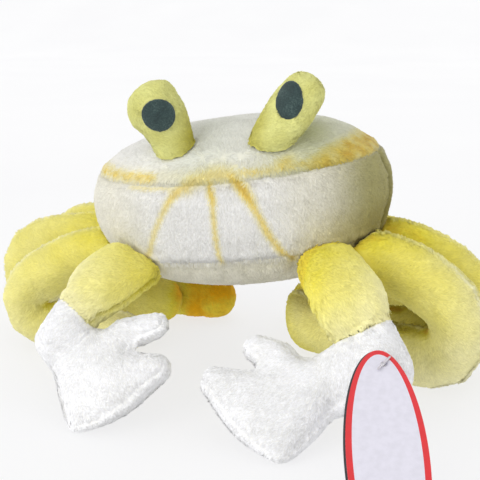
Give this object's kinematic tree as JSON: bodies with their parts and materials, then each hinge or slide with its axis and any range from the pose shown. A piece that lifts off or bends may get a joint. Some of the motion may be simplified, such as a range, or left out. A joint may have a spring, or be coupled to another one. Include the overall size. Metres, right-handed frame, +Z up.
{
  "type": "stuffed ghost crab toy",
  "caption": "Plush ghost crab with a puffed oval body, eye stalks with felt pupils, curled legs, bent arms with mitten claws and an oval hang tag.",
  "frame": {"origin": "middle of the whole toy's box, on the surface it stands on", "axes": "+Z up, the face and the claws towards -Y, +X to the right of someone who looks at the face"},
  "size_m": [0.286, 0.291, 0.1599],
  "materials": {
    "white_plush": "short white pile with airbrushed golden bands",
    "yellow_plush": "short yellow pile, paler towards the ends",
    "claw_plush": "short white pile",
    "dark_felt": "flat dark felt",
    "tag_card": "coated white card with a red rim",
    "clear_plastic": "clear fastener"
  },
  "bodies": {
    "root": {"arm_left": "yellow_plush", "arm_right": "yellow_plush", "belly": "white_plush", "carapace": "white_plush", "claw_finger_left": "claw_plush", "claw_finger_right": "claw_plush", "claw_palm_left": "claw_plush", "claw_palm_right": "claw_plush", "claw_thumb_left": "claw_plush", "claw_thumb_right": "claw_plush", "cuff_left": "claw_plush", "cuff_right": "claw_plush", "eye_stalk_left": "yellow_plush", "eye_stalk_right": "yellow_plush", "face": "white_plush", "leg_front_left_foot": "yellow_plush", "leg_front_left_thigh": "yellow_plush", "leg_front_right_foot": "yellow_plush", "leg_front_right_thigh": "yellow_plush", "leg_middle_left_foot": "yellow_plush", "leg_middle_left_thigh": "yellow_plush", "leg_middle_right_foot": "yellow_plush", "leg_middle_right_thigh": "yellow_plush", "leg_rear_left_foot": "yellow_plush", "leg_rear_left_thigh": "yellow_plush", "leg_rear_right_foot": "yellow_plush", "leg_rear_right_thigh": "yellow_plush", "pupil_left": "dark_felt", "pupil_right": "dark_felt", "rump": "white_plush", "tag_card": "tag_card", "tag_fastener": "clear_plastic"}
  },
  "joints": []
}
